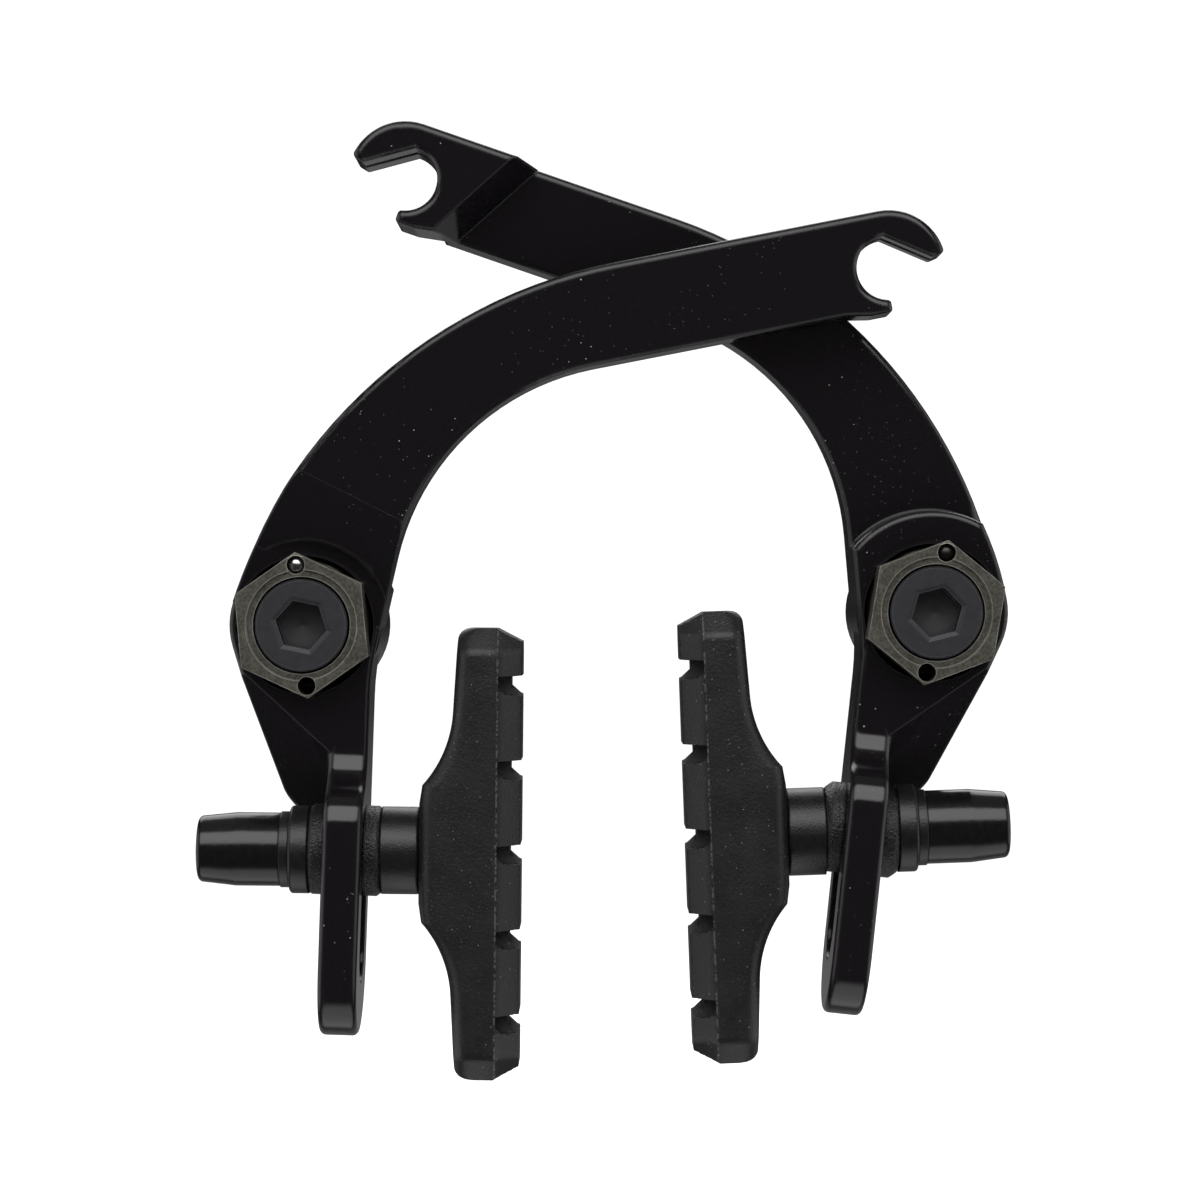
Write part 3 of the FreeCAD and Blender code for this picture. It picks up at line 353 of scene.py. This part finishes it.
# Tension nuts: hexagons turned from bar and browned, with bare steel showing on their worn edges.
# Two drilled holes take the spring's end, and a key turns them to set the spring.
browned, shader, tree = new_finish("browned_steel", Metallic=0.75)
mottle = tree.noise(450, 5.0)
grit = tree.fading(tree.noise(3200, 3.0), 0.3, 0.7, 1.0)
worn = tree.edges(0.00025, 0.015, 0.15) * (0.3 + 0.9 * mottle)
plain = (0.55 * mottle + 0.45 * grit).between((0.03, 0.028, 0.022, 1), (0.125, 0.119, 0.098, 1))
worn.between(plain, (0.34, 0.33, 0.295, 1)).to(shader, "Base Color")
(0.38 + 0.22 * mottle).to(shader, "Roughness")
grit.bump(shader, 0.25, 0.00004)
for side in ("left", "right"):
    wear(parts[side + "_tension_nut"], browned)

# Ball washers: sintered steel, blacked, with a coarse pitted skin. They lie flat on the ear and
# their round faces let the pad lean.
pitted, shader, tree = new_finish("pitted_black", Metallic=0.1)
pits = tree.noise(4200, 2.0)
pits.between((0.002, 0.002, 0.0022, 1), (0.012, 0.012, 0.0125, 1)).to(shader, "Base Color")
(0.2 + 0.2 * pits).to(shader, "Roughness")
pits.bump(shader, 1.0, 0.00016, tree.soft_edge(0.0005))
for side in ("left", "right"):
    wear(parts[side + "_inner_ball_washer"], pitted)
    wear(parts[side + "_outer_ball_washer"], pitted)

# Cups and plain washers: turned aluminium cups and pressed steel washers in a satin black.
# The finish is a little cloudy, with some dust on it.
satin, shader, tree = new_finish("satin_black")
haze = tree.noise(900, 4.0)
fluff = tree.specks(700, 0.05) * (tree.noise(200) > 0.55)
cloud = 0.4 * haze + 0.9 * fluff
cloud.between((0.002, 0.002, 0.0022, 1), (0.014, 0.014, 0.0145, 1)).to(shader, "Base Color")
(0.26 + 0.14 * haze).to(shader, "Roughness")
sand = tree.noise(5200, 2.0)
sand.bump(shader, 0.6, 0.00006, tree.soft_edge(0.0002))
for side in ("left", "right"):
    for piece in ("spacer_cup", "outer_cup", "flat_washer"):
        wear(parts[f"{side}_{piece}"], satin)

# Barrel nuts: long round nuts with a tapered end and a key socket, turned from bar.
# They are finished in a bright black that shows faint turning lines.
bright_black, shader, tree = new_finish("bright_black")
streak = tree.noise(900, 2.0, (4, 1, 1))
streak.between((0.0016, 0.0016, 0.0018, 1), (0.005, 0.005, 0.0053, 1)).to(shader, "Base Color")
(0.12 + 0.12 * streak).to(shader, "Roughness")
skin = tree.noise(4500, 2.0)
skin.bump(shader, 0.25, 0.00003, tree.soft_edge(0.0003))
for side in ("left", "right"):
    wear(parts[side + "_barrel_nut"], bright_black)

# Pad posts: 6 mm steel studs with a rolled thread, blacked. Each ends in a round head that the pad
# is moulded over, and the barrel nut runs on its other end.
thread_black, shader, tree = new_finish("thread_black", Metallic=0.7)
swarf = tree.noise(1200)
swarf.between((0.03, 0.03, 0.032, 1), (0.07, 0.07, 0.072, 1)).to(shader, "Base Color")
(0.35 + 0.2 * swarf).to(shader, "Roughness")

POST_OUTSIDE = 3.0
POST_HEAD = 5.4
POST_END = -13.2
THREAD_STOP, POST_RUN_OUT = 8.0, 0.6
HEAD_NEAR, HEAD_FAR = 10.98, 12.98


def pad_axes(side):
    """The ball's centre, and the directions along the post, up the pad and to the rear."""
    twist = joints[side + "_pad_twist"]
    post = Vector(twist["axis"]).normalized()
    rear = Vector((0, 1, 0))
    up = post.cross(rear)
    return Vector(twist["pos_m"]), post, up if up.z > 0 else -up, rear


for side in ("left", "right"):
    ball, post, up, rear = pad_axes(side)
    profile = [(POST_END, POST_OUTSIDE - THREAD_DEPTH)]
    turns = round((THREAD_STOP - POST_END) * RINGS_PER_PITCH)
    for step in range(turns + 1):
        along = POST_END + THREAD_START + (THREAD_STOP - POST_END) * step / turns
        profile.append((along, thread_reach(along, POST_OUTSIDE)))
    profile += [(THREAD_STOP + POST_RUN_OUT, POST_OUTSIDE), (HEAD_NEAR, POST_OUTSIDE)]
    profile += [(HEAD_NEAR, POST_HEAD), (HEAD_FAR, POST_HEAD)]
    stud = lofted(side + "_threaded_post", [round_ring(ball, post, up, *step) for step in profile], 50)
    wear(stud, thread_black)
    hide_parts(side + "_pad_post")
    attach(stud, side + "_pad")

# Brake pads: black rubber moulded over the post's head, thick in the middle and thin at the ends.
# A fine flash line runs where the mould parted, and five water grooves cross the braking face.
rubber, shader, tree = new_finish("moulded_rubber")
bloom = tree.noise(260, 5.0)
lint = tree.specks(1100, 0.075) * (tree.noise(300) > 0.45)
lint = lint + 0.45 * tree.specks(2300, 0.11) * (tree.noise(420) > 0.5)
chalk = tree.noise(3400, 2.0)
skin = (0.5 * bloom + 0.5 * chalk).between((0.0006, 0.0006, 0.0007, 1), (0.0095, 0.0095, 0.0097, 1))
bead = tree.node("ShaderNodeAttribute", {"attribute_name": "flash"}, {}, "Fac")
bead = bead * (tree.noise(2200, 1.0) > 0.5)
(0.55 * lint + 0.2 * bead).between(skin, (0.15, 0.15, 0.145, 1)).to(shader, "Base Color")
hollow = tree.node("ShaderNodeAttribute", {"attribute_name": "hollow"}, {}, "Fac")
(0.33 + 0.2 * bloom + 0.35 * hollow).to(shader, "Roughness")
chalk.bump(shader, 0.6, 0.00007)

PAD_HALF = 25.0
PAD_WIDE = 6.5
FACE = 19.6
BOSS_BACK, BOSS_HALF = 8.38, 5.5
SWEEP_BACK, SWEEP_END = 8.7, 7.6
ROOT_BACK, SWEEP_START = 12.0, 15.6
END_BACK, END_CORNER = 12.45, 1.3
END_BEVEL = (2.86, 1.43)
FACE_BEVEL = (2.65, 2.2)
PILLOW, PILLOW_ROUND, PILLOW_LEAN = 3.2, 1.7, math.radians(36)
GROOVE_PITCH = 9.36
GROOVE_TOP, GROOVE_LIP = 1.06, 0.12
GROOVE_DEEP, GROOVE_FOOT, GROOVE_SLOPE = 1.25, 1.25, 1.1
POCKET_DEEP, POCKET_FOOT, POCKET_SLOPE = 2.6, 1.1, 0.9
POCKET_EDGE = 0.2
BACK_ROUND, BACK_SHARE, BACK_STEPS = 1.8, 0.4, 6
BEVEL_SHARES = (0.25, 0.5, 0.75, 0.93)
CREST_DROP, CREST_WIDE = 0.03, 0.25
CROWN_SHARE = 0.55
CUT_START, CUT_STOP = 0.1, 0.02
BEAD_LEAST = 0.01
RING_STEP = 0.5
FLASH_BEAD = ((-0.16, 0.0), (-0.05, 0.06), (0.06, 0.03), (0.14, -0.1))
GROOVE_RINGS = (-1.3, -1.25, -1.1, -1.0, -0.85, -0.7, -0.5, -0.3, -0.15, 0.3, 0.7, 0.93, 0.97, 1.0, 1.03,
                1.07)
END_RINGS = (21.7, 21.85, 22.2, 22.4, 22.6, 22.75, 22.9, 23.2, 23.57, 23.9, 24.2, 24.65, 24.8, 24.92, 24.98)


def pad_back(high):
    """Distance of the pad's back from the ball's centre, at a height above or below its middle."""
    high = abs(high)
    if high <= BOSS_HALF:
        return BOSS_BACK
    if high <= SWEEP_END:
        return BOSS_BACK + (SWEEP_BACK - BOSS_BACK) * (high - BOSS_HALF) / (SWEEP_END - BOSS_HALF)
    draft = (END_BACK - ROOT_BACK) / (PAD_HALF - END_CORNER - SWEEP_START)
    if high <= SWEEP_START:
        lean = math.atan(draft)
        aside = Vector((-math.cos(lean), math.sin(lean)))
        chord = Vector((SWEEP_BACK - ROOT_BACK, SWEEP_END - SWEEP_START))
        radius = chord.length_squared / (2 * chord.dot(aside))
        centre = Vector((ROOT_BACK, SWEEP_START)) + aside * radius
        return centre.x + math.sqrt(radius ** 2 - (high - centre.y) ** 2)
    plain = ROOT_BACK + draft * (high - SWEEP_START)
    past = max(0.0, high - PAD_HALF + END_CORNER)
    return plain + END_CORNER - math.sqrt(END_CORNER ** 2 - min(past, END_CORNER) ** 2)


def pad_face(high):
    """Distance of the braking face, which is bevelled at the pad's ends."""
    past = max(0.0, abs(high) - PAD_HALF + END_BEVEL[1])
    return FACE - END_BEVEL[0] * past / END_BEVEL[1]


def groove_depth(high, beside):
    """Depth of the water groove: shallow across the face, a deep pocket at each side."""
    step = max(-2, min(2, round(high / GROOVE_PITCH)))
    high -= step * GROOVE_PITCH
    lip = min(1.0, max(0.0, (GROOVE_TOP - high) / GROOVE_LIP))
    if abs(beside) > PAD_WIDE - FACE_BEVEL[1] - POCKET_EDGE:
        floor = min(1.0, max(0.0, (high + POCKET_FOOT) / POCKET_SLOPE))
        return POCKET_DEEP * lip * math.sqrt(1 - (1 - floor) ** 2)
    return GROOVE_DEEP * lip * min(1.0, max(0.0, (high + GROOVE_FOOT) / GROOVE_SLOPE))


def pad_ring(high):
    """One cross-section of the pad, from the middle of its back round to the middle of its face."""
    back = pad_back(high)
    face = pad_face(high)
    end = max(0.0, abs(high) - PAD_HALF + PILLOW)
    bent = min(end, PILLOW_ROUND * math.sin(PILLOW_LEAN))
    wide = PAD_WIDE - PILLOW_ROUND + math.sqrt(PILLOW_ROUND ** 2 - bent ** 2)
    wide -= (end - bent) * math.tan(PILLOW_LEAN)
    shoulder = FACE - FACE_BEVEL[0]
    crown = wide - FACE_BEVEL[1]
    corner = min(BACK_ROUND, BACK_SHARE * (shoulder - back))
    half = [(back, 0.0), (back, 0.5 * wide)]
    for step in range(BACK_STEPS + 1):
        angle = math.pi / 2 * step / BACK_STEPS
        half.append((back + corner - corner * math.cos(angle), wide - corner + corner * math.sin(angle)))
    half.append((0.5 * (back + corner + shoulder), wide))
    half += [(shoulder + along, wide + out) for along, out in FLASH_BEAD]
    for share in BEVEL_SHARES:
        half.append((shoulder + FACE_BEVEL[0] * share, wide - FACE_BEVEL[1] * share))
    half += [(FACE - CREST_DROP, crown), (FACE, crown - CREST_WIDE)]
    half += [(FACE, CROWN_SHARE * crown), (FACE, 0.0)]
    ring = []
    for along, beside in half + [(a, -b) for a, b in reversed(half[1:-1])]:
        hollow = 0.0
        if along > shoulder + CUT_START:
            cut = max(shoulder + CUT_STOP, FACE - groove_depth(high, beside))
            hollow = float(cut < along)
            along = min(along, cut)
        flash = float(abs(beside) > wide + BEAD_LEAST)
        ring.append((min(along, face), beside, flash, hollow))
    return ring


ring_count = round(2 * PAD_HALF / RING_STEP) + 1
heights = {round(RING_STEP * step - PAD_HALF, 3) for step in range(ring_count)}
for step in range(-2, 3):
    for offset in GROOVE_RINGS:
        heights.add(round(step * GROOVE_PITCH + offset, 3))
for high in (BOSS_HALF, SWEEP_END, SWEEP_START, *END_RINGS):
    heights |= {high, -high}
heights = sorted(heights)
for side in ("left", "right"):
    ball, post, up, rear = pad_axes(side)
    rings = []
    marks = {"flash": [], "hollow": []}
    for high in heights:
        rings.append([])
        for along, beside, flash, hollow in pad_ring(high):
            rings[-1].append(ball + (post * along + up * high + rear * beside) * MM)
            marks["flash"].append(flash)
            marks["hollow"].append(hollow)
    pad = lofted(side + "_rubber_pad", rings, 40)
    for name, values in marks.items():
        pad.data.attributes.new(name, "FLOAT", "POINT").data.foreach_set("value", values)
    wear(pad, rubber)
    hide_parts(side + "_brake_pad")
    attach(pad, side + "_pad")

# The room: a plain pale floor well below the brake and plain white all round. Dark cloths hang in
# front and behind, so the gloss shows only the white sides, the white floor and the softbox.
FLOOR = -0.16
WHITE = 1.12
CLOTH = 0.02
room = bpy.data.worlds.new("white_room")
bpy.context.scene.world = room
room.use_nodes = True
tree = Wire(room.node_tree)
way = tree.node("ShaderNodeTexCoord", {}, {}, "Generated")
across = tree.node("ShaderNodeSeparateXYZ", {}, {0: way}, "X")
deep = tree.node("ShaderNodeSeparateXYZ", {}, {0: way}, "Y")
high = tree.node("ShaderNodeSeparateXYZ", {}, {0: way}, "Z")
sides = tree.fading(across * across, 0.5, 0.75, 1.0)
below = tree.fading(high, -0.82, -0.94, 1.0)
above = tree.fading(high, 0.8, 0.95, 0.15)
behind = tree.fading(deep, 0.35, 0.75, 1.0)
low_behind = tree.fading(high, 0.0, -0.15, 0.2)
seen = CLOTH + (sides + below + above) * (1 - behind) + behind * low_behind
mirrored = tree.node("ShaderNodeLightPath", {}, {}, "Is Glossy Ray")
strength = WHITE + mirrored * (seen - WHITE)
strength.to(room.node_tree.nodes["Background"], "Strength")
room.node_tree.nodes["Background"].inputs["Color"].default_value = (1, 1, 1, 1)

sheet = bpy.data.meshes.new("floor")
shape = bmesh.new()
bmesh.ops.create_grid(shape, x_segments=1, y_segments=1, size=6.0)
shape.to_mesh(sheet)
shape.free()
floor = bpy.data.objects.new("floor", sheet)
floor.location = (0, 0, FLOOR)
bpy.context.scene.collection.objects.link(floor)
paper, shader, tree = new_finish("white_paper", Roughness=1.0, Specular_IOR_Level=0.0)
shader.inputs["Base Color"].default_value = (0.95, 0.95, 0.95, 1)
wear(floor, paper)
floor.visible_glossy = False

# Softboxes: a broad one above the camera, and a weaker one above and behind that edges the brake
# with light.
SOFTBOX_SIZE = (1.2, 0.73)
FRONT_SOFTBOX = ("front_softbox", (0, -0.766, 0.643), 8.2)
REAR_SOFTBOX = ("rear_softbox", (0, 0.82, 0.7), 5.5)
for name, place, power in (FRONT_SOFTBOX, REAR_SOFTBOX):
    lamp = bpy.data.lights.new(name, "AREA")
    lamp.shape = "RECTANGLE"
    lamp.size, lamp.size_y = SOFTBOX_SIZE
    lamp.energy = power
    softbox = bpy.data.objects.new(name, lamp)
    softbox.location = place
    softbox.rotation_euler = (-softbox.location).to_track_quat("-Z", "Y").to_euler()
    bpy.context.scene.collection.objects.link(softbox)

# The camera stands square in front of the brake and a little rolled, as in the photograph. Its long
# lens keeps the arms' far edges close behind their near ones.
lens = bpy.data.cameras.new("camera")
lens.sensor_width = 36.0
lens.lens = 97.5
lens.clip_start = 0.01
camera = bpy.data.objects.new("camera", lens)
camera.location = (-0.002048, -0.380, 0.002131)
camera.rotation_euler = (math.pi / 2, math.radians(1.15), 0)
bpy.context.scene.collection.objects.link(camera)
bpy.context.scene.camera = camera
bpy.context.scene.view_settings.view_transform = "Standard"
